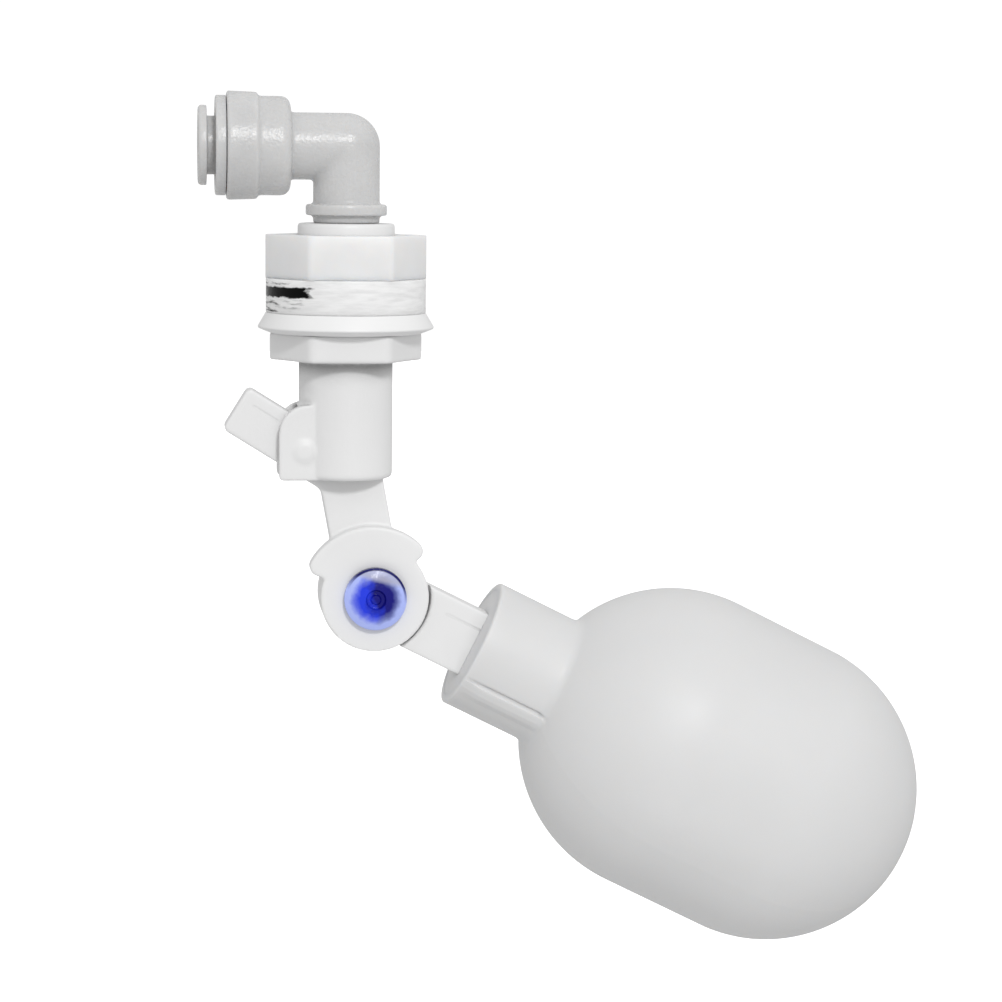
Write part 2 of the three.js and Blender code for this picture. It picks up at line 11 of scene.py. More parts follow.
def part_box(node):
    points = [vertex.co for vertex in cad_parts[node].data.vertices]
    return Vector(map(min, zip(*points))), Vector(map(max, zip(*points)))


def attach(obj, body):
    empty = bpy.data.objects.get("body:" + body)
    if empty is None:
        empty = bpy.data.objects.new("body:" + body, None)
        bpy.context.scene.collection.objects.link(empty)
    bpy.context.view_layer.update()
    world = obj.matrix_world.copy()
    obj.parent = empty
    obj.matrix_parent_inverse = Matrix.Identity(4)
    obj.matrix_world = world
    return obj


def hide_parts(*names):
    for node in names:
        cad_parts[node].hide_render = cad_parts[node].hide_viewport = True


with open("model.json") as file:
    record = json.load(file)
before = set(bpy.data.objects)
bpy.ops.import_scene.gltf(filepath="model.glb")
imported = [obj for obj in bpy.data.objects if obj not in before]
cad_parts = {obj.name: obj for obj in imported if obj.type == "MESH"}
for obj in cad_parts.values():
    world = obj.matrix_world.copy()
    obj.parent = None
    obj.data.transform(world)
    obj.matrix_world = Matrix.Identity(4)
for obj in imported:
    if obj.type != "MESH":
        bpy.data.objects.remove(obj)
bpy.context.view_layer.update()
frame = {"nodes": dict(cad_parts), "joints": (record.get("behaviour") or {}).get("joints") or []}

# ---------------------------------------------------------------- sizes, in millimetres

MM = 0.001
ROUND = 128                  # sides of a large round
ROUND_SMALL = 64             # sides of a pin or a bore
ROUND_BALL = 96              # sides of the elbow's outer corner
ROUND_FLOAT = 288            # sides of the float, fine enough for its mould line
FUSE_VOXEL = 0.2             # mesh step of the moulded pieces
FUSE_SMOOTH = 5              # smoothing passes that round their edges
NEARLY_STRAIGHT = math.radians(89.5)     # half the angle above which a corner isn't rounded

CAMERA_AIM = Vector((21.5, 0.0, -23.1))
CAMERA_DISTANCE = 400.0
CAMERA_AZIMUTH = -7.0
CAMERA_ELEVATION = 6.6
CAMERA_ROLL = 0.6
CAMERA_LENS = 104.3

KEY = {"azimuth": 7, "elevation": 30, "distance": 700, "size": 80, "power": 1.7}
FILL = {"azimuth": -10, "elevation": -38, "distance": 500, "power": 1.4}
FILL_ANGLE, FILL_BLEND, FILL_RADIUS = 12, 0.8, 0.05      # degrees, share, metres
DOME_ABOVE, DOME_BELOW, BACKDROP = 0.74, 0.52, 1.05      # as light from above and below, and as seen
FLOOR_TOP, FLOOR_HALF, FLOOR_GLOW = -260, 4000, 0.9

STEM_R, STEM_BORE_R, STEM_TOP = 6.58, 4.0, 14.85
STEM_BORE_FLOOR = -1.0
FLANGE_FLATS, FLANGE_BOTTOM = 18.3, -3.6
BODY_R, BODY_BOTTOM = 6.4, -19.7
CHAMBER_R, CHAMBER_TOP = 5.2, -5.0
NOZZLE_R, NOZZLE_TIP, NOZZLE_BORE_R = 2.6, -6.6, 1.6
EAR_OUT, EAR_IN = 4.7, 2.9
EAR_LEFT, EAR_RIGHT, EAR_TOP, EAR_BOTTOM, EAR_CORNER = -9.2, -4.0, -9.5, -19.75, 4.0
SLOT_TOP = -9.9
NOTCH_RIGHT, NOTCH_HALF, NOTCH_TOP = 5.6, 2.5, -15.5
NUT_FLATS, NUT_BOTTOM, NUT_TOP = 19.2, 7.4, 13.3
NUT_BORE_R = 6.75
GASKET_R, GASKET_BOTTOM, GASKET_TOP, GASKET_SEAT = 10.85, 2.8, 7.4, 0.05
FLARE_R, FLARE_WIDE, FLARE_FOOT_R, FLARE_TOP = 12.05, 0.75, 10.3, 2.8

PIPE_R, PIPE_BORE_R = 4.5, 2.2
COLLAR_R, COLLAR_BOTTOM, COLLAR_TOP = 5.5, 15.9, 17.4
NECK_BOTTOM = 14.87
SPIGOT_R, SPIGOT_BOTTOM, SPIGOT_GROOVE_R = 3.6, 4.0, 2.8
SPIGOT_GROOVE = (8.2, 10.0)
SOCKET_RIGHT, SOCKET_R = -7.6, 6.65
BAND_RIGHT, BAND_LEFT, BAND_R_RIGHT, BAND_R_LEFT = -12.0, -16.2, 7.15, 7.3
CARTRIDGE_R, CARTRIDGE_END, TUBE_STOP = 5.2, -9.8, -7.8
TUBE_BORE_R = 3.3
CAP_R, CAP_LEFT, CAP_RIGHT, CAP_BORE_R, CAP_SKIRT_R, CAP_SKIRT_END = 6.7, -17.7, -16.3, 4.25, 4.9, -14.9
COLLET_LEFT, COLLET_FLANGE_R, COLLET_FLANGE, COLLET_BARREL_R, COLLET_END = -20.0, 5.35, 1.15, 3.92, -14.4

PIN_R, PIN_CLEAR, PIN_SUNK = 1.5, 0.15, 0.1
BOSS_R, BOSS_CROWN_R, BOSS_TOP, BOSS_SINK = 1.85, 0.9, 5.02, 0.5
LEVER_HALF = 2.35
BAR_SLOPE, BAR_WIDTH, TAB_LENGTH = 31.8, 6.7, 10.8
TAB_LINE_INSET, TAB_LINE_RISE, TAB_LINE_LENGTH = 1.8, 1.5, 3.9
LEG_LEAN, LEG_RIGHT, LEG_LEFT = 10.5, 4.1, 4.45
HEAD_R, HEAD_FRONT, LAP_GAP, HEAD_CLEAR_R = 7.4, 4.2, 0.15, 7.85
LUG_R, LUG_SHIFT, LUG_FROM, LUG_TO, LUG_BACK, LUG_CORNER = 9.75, 0.3, 41, 157, 1.4, 1.3
SCREW_R, SCREW_HEAD_R, SCREW_HEAD, SCREW_DOME, SCREW_END = 2.7, 4.25, 2.0, 0.9, 8.4
SCREW_HOLE_R, SCREW_SEAT = 3.0, 0.05
SCREW_DOME_RINGS = (4.0, 3.6, 3.2, 2.8, 2.4, 2.0, 1.7, 1.4)
SCREW_RECESS = ((1.2, 0.55, 0.15), (0.75, 0.6, 0.1), (0.55, 0.15, 0.1), (0, 0.1, 0))  # radius, depth, edge
JOINT_NUT_FLATS, JOINT_NUT, JOINT_NUT_BORE_R = 10.0, 3.6, 2.8

ARM_SLOPE, ARM_WIDTH, ARM_END, ARM_LINE = 26.7, 9.25, 19.2, (10.0, 2.2)
NECK_START, NECK_R = 15.3, 9.2
FLOAT_R, FLOAT_NEAR, FLOAT_FAR, FLOAT_WALL, FLOAT_FILLET = 21.45, 47.0, 61.95, 1.2, 1.6
RIB_WIDTH, RIB_HEIGHT, RIB_GROOVE, RIB_ANGLE = 2.5, 0.35, 0.35, 34.5
RIB_START, RIB_END, RIB_FADE_IN, RIB_FADE_OUT = 16.4, 28.2, 1.5, 1.2
RIB_TOP_EDGE, RIB_FOOT_EDGE, RIB_GROOVE_WIDTH = 0.15, 1.1, 0.2
LINE_HEIGHT, LINE_WIDTH = 0.06, 0.22
PLUG_LENGTH, PLUG_GAP = 4.2, 0.02
GROOVE_WIDTH, GROOVE_DEPTH = 0.35, 0.1

# The share of open surroundings over which the painted crease shade fades out, within reach (in metres),
# for ordinary pieces and for the body, whose painted shade comes from its own overhangs only.
CREASE_REACH, CREASE_SPAN = 0.002, (0.15, 0.75)
OVERHANG_REACH, OVERHANG_SPAN = 0.005, (0.45, 0.85)
CREASE_SAMPLES = 8

# Painted dark reflections on the clear gasket, in metres: where along X they fade out, where along Y they
# end towards the back, the low and high edge of each, how soft an edge is and how far noise shakes it.
DARK_REFLECTION_FADE, DARK_REFLECTION_LOW_FADE, DARK_REFLECTION_FRONT = (-0.0060, -0.0048), (-0.0084, -0.0060), (0.0005, 0.002)
DARK_REFLECTION_MAIN, DARK_REFLECTION_UPPER, DARK_REFLECTION_LOWER = (0.0050, 0.0064), (0.00672, 0.00695), (0.0031, 0.0047)
DARK_REFLECTION_EDGE, DARK_REFLECTION_SHAKE = 0.00012, 0.0022
DARK_REFLECTION_SHAKE_X, DARK_REFLECTION_SHAKE_Z = 1.6, 0.3


def joint_at(name):
    """A joint's place in millimetres, from the record."""
    found = [j for j in frame["joints"] if j["name"] == name][0]
    return Vector(found["pos_m"]) / MM


PIVOT = joint_at("lever_pivot")
JOINT = joint_at("arm_angle")
ELBOW_Z = (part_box("collet")[0].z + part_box("collet")[1].z) / 2 / MM

# ---------------------------------------------------------------- outlines


def rounded(corners, closed=True, steps=5):
    """A polyline through (a, b, radius) corners, each rounded by a true arc."""
    points = []
    last = len(corners) - 1
    for i, (a, b, radius) in enumerate(corners):
        here = Vector((a, b))
        if radius <= 0 or (not closed and i in (0, last)):
            points.append(here)
            continue
        back = (Vector(corners[i - 1][:2]) - here).normalized()
        ahead = (Vector(corners[(i + 1) % len(corners)][:2]) - here).normalized()
        half = math.acos(max(-1.0, min(1.0, back.dot(ahead)))) / 2
        if half > NEARLY_STRAIGHT:
            points.append(here)
            continue
        centre = here + (back + ahead).normalized() * (radius / math.sin(half))
        start = here + back * (radius / math.tan(half)) - centre
        end = here + ahead * (radius / math.tan(half)) - centre
        turn = start.angle_signed(end)
        for k in range(steps + 1):
            points.append(centre + Matrix.Rotation(-turn * k / steps, 2) @ start)
    return points


def arc(a, b, radius, start, end, steps):
    """Points on an arc about (a, b), angles in degrees."""
    angles = [math.radians(start + (end - start) * k / steps) for k in range(steps + 1)]
    return [Vector((a + radius * math.cos(t), b + radius * math.sin(t))) for t in angles]


def line_through(point, slope, offset=0.0):
    """The line at slope degrees above +X through point, moved sideways by offset: (normal, distance)."""
    direction = Vector((math.cos(math.radians(slope)), math.sin(math.radians(slope))))
    normal = Vector((-direction.y, direction.x))
    return normal, normal.dot(point) + offset


def crossing(one, two):
    """Where two such lines meet."""
    (n, d), (m, e) = one, two
    det = n.x * m.y - n.y * m.x
    return Vector(((d * m.y - n.y * e) / det, (n.x * e - d * m.x) / det))


# ---------------------------------------------------------------- meshes


def new_object(name, bm):
    """A mesh object, still in millimetres, from a bmesh."""
    bmesh.ops.recalc_face_normals(bm, faces=bm.faces)
    mesh = bpy.data.meshes.new(name)
    bm.to_mesh(mesh)
    bm.free()
    obj = bpy.data.objects.new(name, mesh)
    bpy.context.scene.collection.objects.link(obj)
    return obj


def lathe(name, outline, sides=ROUND):
    """Turned about Z from (radius, height) points: open between two points on the axis, or a ring."""
    bm = bmesh.new()
    closed = outline[0][0] > 1e-6
    columns = []
    for r, z in outline:
        if r <= 1e-6:
            columns.append([bm.verts.new((0, 0, z))] * sides)
            continue
        row = []
        for k in range(sides):
            angle = 2 * math.pi * k / sides
            row.append(bm.verts.new((r * math.cos(angle), r * math.sin(angle), z)))
        columns.append(row)
    pairs = list(zip(columns, columns[1:]))
    if closed:
        pairs.append((columns[-1], columns[0]))
    for low, high in pairs:
        for k in range(sides):
            ring = [low[k], low[(k + 1) % sides], high[(k + 1) % sides], high[k]]
            corners = list(dict.fromkeys(ring))
            if len(corners) > 2:
                bm.faces.new(corners)
    return new_object(name, bm)


def prism(name, outline, y0, y1):
    """An outline in the XZ plane, thick from y0 to y1."""
    bm = bmesh.new()
    front = [bm.verts.new((p.x, y0, p.y)) for p in outline]
    back = [bm.verts.new((p.x, y1, p.y)) for p in outline]
    bm.faces.new(front)
    bm.faces.new(list(reversed(back)))
    for k in range(len(outline)):
        n = (k + 1) % len(outline)
        bm.faces.new((front[n], front[k], back[k], back[n]))
    return new_object(name, bm)


def block(name, low, high):
    """A box between two corners."""
    outline = [Vector((low[0], low[2])), Vector((high[0], low[2])),
               Vector((high[0], high[2])), Vector((low[0], high[2]))]
    return prism(name, outline, low[1], high[1])


def moved(obj, matrix):
    """Moves the mesh itself, so that the object keeps its place at the origin."""
    obj.data.transform(matrix)
    return obj


def along_x(obj, z=0.0):
    """Turns a lathe's axis from Z to X, at height z."""
    return moved(obj, Matrix.Translation((0, 0, z)) @ Matrix.Rotation(math.pi / 2, 4, "Y"))


def along_y(obj, x=0.0, z=0.0):
    """Turns a lathe's axis from Z to Y, through (x, z)."""
    return moved(obj, Matrix.Translation((x, 0, z)) @ Matrix.Rotation(-math.pi / 2, 4, "X"))


def rod(name, radius, low, high, sides=ROUND):
    """A plain cylinder about Z."""
    return lathe(name, [(0, low), (radius, low), (radius, high), (0, high)], sides)


def ball(name, radius, z=0.0):
    """A sphere whose centre is on Z at height z."""
    outline = [(max(p.x, 0.0), p.y) for p in arc(0, z, radius, -90, 90, 48)]
    outline[0], outline[-1] = (0, z - radius), (0, z + radius)
    return lathe(name, outline, ROUND_BALL)


def hexagon(name, flats, low, high, edge):
    """Hexagonal prism about Z with flats facing -Y and +Y and rounded upright edges."""
    radius = flats / math.sqrt(3)
    corners = [(radius * math.cos(math.radians(60 * k)), radius * math.sin(math.radians(60 * k)), edge)
               for k in range(6)]
    outline = rounded(corners, steps=4)
    return moved(prism(name, outline, low, high), Matrix.Rotation(math.pi / 2, 4, "X"))


def apply_modifiers(obj):
    bpy.context.view_layer.update()
    shaped = obj.evaluated_get(bpy.context.evaluated_depsgraph_get())
    mesh = bpy.data.meshes.new_from_object(shaped)
    obj.modifiers.clear()
    old = obj.data
    obj.data = mesh
    bpy.data.meshes.remove(old)
    return obj


def combine(base, others, operation):
    """Joins or cuts base by each of the others, which are used up."""
    for other in others:
        step = base.modifiers.new("step", "BOOLEAN")
        step.operation = operation
        step.solver = "MANIFOLD"
        step.object = other
        apply_modifiers(base)
        bpy.data.objects.remove(other)
    return base


def mould(base, voxel=FUSE_VOXEL, passes=FUSE_SMOOTH):
    """Remeshes a joined piece evenly and softens its edges, like those of moulded plastic."""
    remesh = base.modifiers.new("even", "REMESH")
    remesh.mode = "VOXEL"
    remesh.voxel_size = voxel
    soften = base.modifiers.new("soft", "SMOOTH")
    soften.factor = 0.5
    soften.iterations = passes
    return apply_modifiers(base)


def bevel(obj, width, segments=3, angle=30):
    step = obj.modifiers.new("edge", "BEVEL")
    step.width = width
    step.segments = segments
    step.limit_method = "ANGLE"
    step.angle_limit = math.radians(angle)
    step.harden_normals = False
    return apply_modifiers(obj)


def finish_piece(obj, body, node, material, smooth_angle=40):
    """Scales a piece to metres, shades it, and hangs it on its body in place of its CAD node."""
    obj.data.transform(Matrix.Scale(MM, 4))
    obj.data.materials.clear()
    obj.data.materials.append(material)
    obj.data.shade_smooth()
    if smooth_angle:
        obj.data.set_sharp_from_angle(angle=math.radians(smooth_angle))
    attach(obj, body)
    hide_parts(node)
    return obj


# ---------------------------------------------------------------- materials


def node_tree(name):
    material = bpy.data.materials.new(name)
    material.use_nodes = True
    tree = material.node_tree
    shader = tree.nodes["Principled BSDF"]
    return material, tree, shader


def object_noise(tree, scale, detail=3.0, stretch=(1, 1, 1)):
    """Noise in the object's own space; scale is in features per metre."""
    place = tree.nodes.new("ShaderNodeTexCoord")
    mapping = tree.nodes.new("ShaderNodeMapping")
    mapping.inputs["Scale"].default_value = stretch
    noise = tree.nodes.new("ShaderNodeTexNoise")
    noise.inputs["Scale"].default_value = scale
    noise.inputs["Detail"].default_value = detail
    tree.links.new(place.outputs["Object"], mapping.inputs["Vector"])
    tree.links.new(mapping.outputs["Vector"], noise.inputs["Vector"])
    return noise.outputs["Fac"]


def ramp(tree, value, stops):
    node = tree.nodes.new("ShaderNodeValToRGB")
    while len(node.color_ramp.elements) < len(stops):
        node.color_ramp.elements.new(0.5)
    for element, (position, colour) in zip(node.color_ramp.elements, stops):
        element.position = position
        element.color = (*colour, 1.0)
    tree.links.new(value, node.inputs["Fac"])
    return node.outputs["Color"]


def bump(tree, shader, height, distance, strength=1.0, normal=None):
    node = tree.nodes.new("ShaderNodeBump")
    node.inputs["Strength"].default_value = strength
    node.inputs["Distance"].default_value = distance
    tree.links.new(height, node.inputs["Height"])
    if normal is not None:
        tree.links.new(normal, node.inputs["Normal"])
    tree.links.new(node.outputs["Normal"], shader.inputs["Normal"])
    return node.outputs["Normal"]


def maths(tree, kind, *values):
    """A math node over sockets or numbers."""
    node = tree.nodes.new("ShaderNodeMath")
    node.operation = kind
    for socket, value in zip(node.inputs, values):
        if isinstance(value, (int, float)):
            socket.default_value = value
        else:
            tree.links.new(value, socket)
    return node.outputs[0]


def smooth(tree, value, low, high):
    """Rises smoothly from 0 at low to 1 at high."""
    node = tree.nodes.new("ShaderNodeMapRange")
    node.interpolation_type = "SMOOTHSTEP"
    node.inputs["From Min"].default_value = low
    node.inputs["From Max"].default_value = high
    tree.links.new(value, node.inputs["Value"])
    return node.outputs["Result"]


def falling(tree, value, low, high):
    """Falls smoothly from 1 at low to 0 at high."""
    return maths(tree, "SUBTRACT", 1.0, smooth(tree, value, low, high))


def mixed(tree, factor, under, over):
    """The colour over, a plain (r, g, b), laid on the socket under."""
    node = tree.nodes.new("ShaderNodeMix")
    node.data_type = "RGBA"
    node.inputs["B"].default_value = (*over, 1)
    tree.links.new(factor, node.inputs["Factor"])
    tree.links.new(under, node.inputs["A"])
    return node.outputs["Result"]


def creased(tree, colour, tone, reach, own):
    """Paints shade into a colour in corners, seams and under overhangs. own counts only the piece's own
    shape.
    """
    crease = tree.nodes.new("ShaderNodeAmbientOcclusion")
    crease.samples = CREASE_SAMPLES
    crease.only_local = own
    crease.inputs["Distance"].default_value = reach
    depth = tree.nodes.new("ShaderNodeMapRange")
    low, high = OVERHANG_SPAN if own else CREASE_SPAN
    depth.inputs["From Min"].default_value = low
    depth.inputs["From Max"].default_value = high
    depth.inputs["To Min"].default_value = tone
    tree.links.new(crease.outputs["AO"], depth.inputs["Value"])
    painted_shade = tree.nodes.new("ShaderNodeVectorMath")
    painted_shade.operation = "SCALE"
    tree.links.new(colour, painted_shade.inputs[0])
    tree.links.new(depth.outputs["Result"], painted_shade.inputs["Scale"])
    return painted_shade.outputs["Vector"]


def moulded_plastic(name, light, dark, roughness, peel, peel_scale, cloud_scale=90.0, soft=0.0, crease=0.6,
                    reach=CREASE_REACH, own=False):
    """Moulded plastic: cloudy tone with painted shade in its creases, uneven gloss, orange peel on a slow
    waviness.
    peel is the relief in metres; crease is the share of the tone that the painted shade leaves in the
    deepest crease."""
    material, tree, shader = node_tree(name)
    cloud = object_noise(tree, cloud_scale, 4.0)
    tone = creased(tree, ramp(tree, cloud, [(0.3, dark), (0.7, light)]), crease, reach, own)
    tree.links.new(tone, shader.inputs["Base Color"])
    gloss = tree.nodes.new("ShaderNodeMapRange")
    gloss.inputs["To Min"].default_value = roughness - 0.05
    gloss.inputs["To Max"].default_value = roughness + 0.07
    tree.links.new(object_noise(tree, 400.0, 2.0), gloss.inputs["Value"])
    tree.links.new(gloss.outputs["Result"], shader.inputs["Roughness"])
    slow = bump(tree, shader, object_noise(tree, 160.0, 2.0), 0.00025, 0.25)
    bump(tree, shader, object_noise(tree, peel_scale, 3.0), peel, 1.0, slow)
    shader.inputs["IOR"].default_value = 1.49
    if soft > 0:
        shader.inputs["Subsurface Weight"].default_value = soft
        shader.inputs["Subsurface Radius"].default_value = (1.0, 0.9, 0.8)
        shader.inputs["Subsurface Scale"].default_value = 0.0015
    return material


def black_rubber(name):
    material, tree, shader = node_tree(name)
    fleck = object_noise(tree, 1500.0, 4.0)
    tone = ramp(tree, fleck, [(0.3, (0.008,) * 3), (0.7, (0.03,) * 3)])
    tree.links.new(tone, shader.inputs["Base Color"])
    shader.inputs["Roughness"].default_value = 0.55
    bump(tree, shader, fleck, 0.00002, 1.0)
    return material


def stainless(name):
    material, tree, shader = node_tree(name)
    grain = object_noise(tree, 3000.0, 3.0, (1, 0.05, 0.05))
    tree.links.new(ramp(tree, grain, [(0.2, (0.42,) * 3), (0.8, (0.62,) * 3)]), shader.inputs["Base Color"])
    shader.inputs["Metallic"].default_value = 1.0
    shader.inputs["Roughness"].default_value = 0.3
    bump(tree, shader, grain, 0.00001, 1.0)
    return material


def band(tree, height, low, high):
    """1 between two heights, with soft edges."""
    up = smooth(tree, height, low - DARK_REFLECTION_EDGE, low + DARK_REFLECTION_EDGE)
    down = falling(tree, height, high - DARK_REFLECTION_EDGE, high + DARK_REFLECTION_EDGE)
    return maths(tree, "MULTIPLY", up, down)


def painted_dark_reflections(tree):
    """Painted dark reflections: ragged dark marks on the front left of the gasket, with fine wisps above
    and below the main one.
    """
    place = tree.nodes.new("ShaderNodeTexCoord")
    split = tree.nodes.new("ShaderNodeSeparateXYZ")
    tree.links.new(place.outputs["Object"], split.inputs["Vector"])
    ragged = object_noise(tree, 700.0, 6.0, (1, 1, 2))
    shake = maths(tree, "MULTIPLY", maths(tree, "SUBTRACT", ragged, 0.5), DARK_REFLECTION_SHAKE)
    x = maths(tree, "ADD", split.outputs["X"], maths(tree, "MULTIPLY", shake, DARK_REFLECTION_SHAKE_X))
    z = maths(tree, "ADD", split.outputs["Z"], maths(tree, "MULTIPLY", shake, DARK_REFLECTION_SHAKE_Z))
    wisps = object_noise(tree, 800.0, 6.0, (0.35, 0.35, 2.5))
    front = falling(tree, split.outputs["Y"], *DARK_REFLECTION_FRONT)
    area = maths(tree, "MULTIPLY", falling(tree, x, *DARK_REFLECTION_FADE), front)
    low_area = maths(tree, "MULTIPLY", falling(tree, x, *DARK_REFLECTION_LOW_FADE), front)
    main = maths(tree, "MULTIPLY", area, band(tree, z, *DARK_REFLECTION_MAIN))
    upper = maths(tree, "MULTIPLY", area, band(tree, z, *DARK_REFLECTION_UPPER))
    upper = maths(tree, "MULTIPLY", upper, smooth(tree, wisps, 0.40, 0.60))
    lower = maths(tree, "MULTIPLY", low_area, band(tree, z, *DARK_REFLECTION_LOWER))
    lower = maths(tree, "MULTIPLY", lower, smooth(tree, wisps, 0.46, 0.66))
    return maths(tree, "MAXIMUM", maths(tree, "MAXIMUM", main, upper), lower)


def silicone_with_painted_reflections(name):
    """Clear silicone, shown as cloudy white with painted dark reflections round its left flank."""
    material, tree, shader = node_tree(name)
    cloud = object_noise(tree, 300.0, 4.0, (1, 1, 6))
    clear = ramp(tree, cloud, [(0.3, (0.80,) * 3), (0.5, (0.88,) * 3), (0.72, (0.95,) * 3)])
    # the dark reflections are painted into the colour as black
    tree.links.new(mixed(tree, painted_dark_reflections(tree), clear, (0, 0, 0)), shader.inputs["Base Color"])
    shader.inputs["Subsurface Weight"].default_value = 0.6
    shader.inputs["Subsurface Radius"].default_value = (1.0, 1.0, 1.0)
    shader.inputs["Subsurface Scale"].default_value = 0.0015
    shader.inputs["IOR"].default_value = 1.43
    shader.inputs["Specular IOR Level"].default_value = 0.15
    shader.inputs["Roughness"].default_value = 0.16
    bump(tree, shader, object_noise(tree, 900.0, 4.0, (1, 1, 2)), 0.00008, 0.7)
    return material


def blue_screw_plastic(name):
    """Clear blue plastic, painted as it looks from the front: navy over the shank, pale round the head's
    rim, with a painted grey reflection near the top and painted shade along its upper edge."""
    material, tree, shader = node_tree(name)
    bright, navy, pale = (0.02, 0.05, 0.80), (0.006, 0.006, 0.20), (0.45, 0.53, 1.0)
    grey, edge_shade = (0.45, 0.45, 0.55), (0.01, 0.01, 0.12)
    head = SCREW_HEAD_R * MM
    place = tree.nodes.new("ShaderNodeTexCoord")
    mapping = tree.nodes.new("ShaderNodeMapping")
    mapping.inputs["Location"].default_value = (-JOINT.x * MM, 0, -JOINT.z * MM)
    mapping.inputs["Scale"].default_value = (1, 0, 1)
    tree.links.new(place.outputs["Object"], mapping.inputs["Vector"])

    def towards(x, z):
        """How far out a point lies in the direction (x, z), as a share of the head's radius."""
        node = tree.nodes.new("ShaderNodeVectorMath")
        node.operation = "DOT_PRODUCT"
        node.inputs[1].default_value = (x / head, 0, z / head)
        tree.links.new(mapping.outputs["Vector"], node.inputs[0])
        return node.outputs["Value"]

    length = tree.nodes.new("ShaderNodeVectorMath")
    length.operation = "LENGTH"
    tree.links.new(mapping.outputs["Vector"], length.inputs[0])
    radial = maths(tree, "MINIMUM", maths(tree, "DIVIDE", length.outputs["Value"], head), 1.0)
    shaken = maths(tree, "MULTIPLY_ADD", object_noise(tree, 900.0, 5.0), 0.22, radial)
    ragged = maths(tree, "SUBTRACT", shaken, 0.11)
    streak = maths(tree, "MULTIPLY_ADD", object_noise(tree, 420.0, 4.0), 1.3, towards(1, 0.1))
    above = towards(0.25, 0.95)

    core = ramp(tree, streak, [(0.40, bright), (0.75, navy)])
    rim = ramp(tree, ragged, [(0.52, (0, 0, 0)), (0.66, (0.25,) * 3), (0.84, (1, 1, 1))])
    # painted reflection: a grey wash over the top of the head
    glare = ramp(tree, above, [(0.52, (0, 0, 0)), (0.66, (0.75,) * 3), (0.80, (0.7,) * 3)])
    # painted shade: the outer rim darkened on its upper side only
    outer = ramp(tree, radial, [(0.91, (0, 0, 0)), (0.94, (1, 1, 1))])
    upper = ramp(tree, above, [(0.1, (0, 0, 0)), (0.6, (1, 1, 1))])
    washed = mixed(tree, glare, mixed(tree, rim, core, pale), grey)
    edged = mixed(tree, maths(tree, "MULTIPLY", outer, upper), washed, edge_shade)
    tree.links.new(edged, shader.inputs["Base Color"])
    shader.inputs["Roughness"].default_value = 0.22
    shader.inputs["IOR"].default_value = 1.49
    shader.inputs["Specular IOR Level"].default_value = 0.25
    bump(tree, shader, object_noise(tree, 900.0, 4.0), 0.00012, 0.8)
    return material


# Every plastic here paints shade into its creases; the body's, from its own overhangs only, is chiefly the
# painted shadow of the flange on the barrel.
WHITE = moulded_plastic("body_white", light=(0.85,) * 3, dark=(0.82,) * 3, roughness=0.42, peel=0.00002,
                        peel_scale=1400.0, crease=0.0, reach=OVERHANG_REACH, own=True)
ARM_WHITE = moulded_plastic("arm_white", light=(0.87,) * 3, dark=(0.84,) * 3, roughness=0.42,
                            peel=0.00002, peel_scale=1300.0, crease=0.85)
FLOAT_WHITE = moulded_plastic("float_white", light=(0.75,) * 3, dark=(0.73,) * 3, roughness=0.46,
                              peel=0.000012, peel_scale=1500.0, cloud_scale=45.0, soft=0.5)
ACETAL = moulded_plastic("acetal_grey", light=(0.66,) * 3, dark=(0.61,) * 3, roughness=0.26,
                         peel=0.00007, peel_scale=2600.0, cloud_scale=160.0, soft=0.5, crease=0.9)
NYLON = moulded_plastic("nut_natural", light=(0.86,) * 3, dark=(0.83,) * 3, roughness=0.40,
                        peel=0.00003, peel_scale=1200.0, cloud_scale=200.0, soft=0.9, crease=0.85)
SILICONE = moulded_plastic("silicone_white", light=(0.90,) * 3, dark=(0.87,) * 3, roughness=0.40,
                           peel=0.00002, peel_scale=1500.0)
SILICONE_CLEAR = silicone_with_painted_reflections("silicone_clear")
RUBBER = black_rubber("black_rubber")
STEEL = stainless("stainless")
BLUE = blue_screw_plastic("screw_blue")

# ---------------------------------------------------------------- body and clamp


def pivot_bosses():
    """A low domed boss over the pivot on the outer face of each ear."""
    foot = EAR_OUT - BOSS_SINK
    dome = rounded([(0, foot, 0), (BOSS_R, foot, 0), (BOSS_R, EAR_OUT, 0.1), (BOSS_CROWN_R, BOSS_TOP, 0.6),
                    (0, BOSS_TOP, 0)], closed=False)
    back = along_y(lathe("back_boss", dome, ROUND_SMALL), PIVOT.x, PIVOT.z)
    front = moved(along_y(lathe("front_boss", dome, ROUND_SMALL)), Matrix.Rotation(math.pi, 4, "Z"))
    return [back, moved(front, Matrix.Translation((PIVOT.x, 0, PIVOT.z)))]


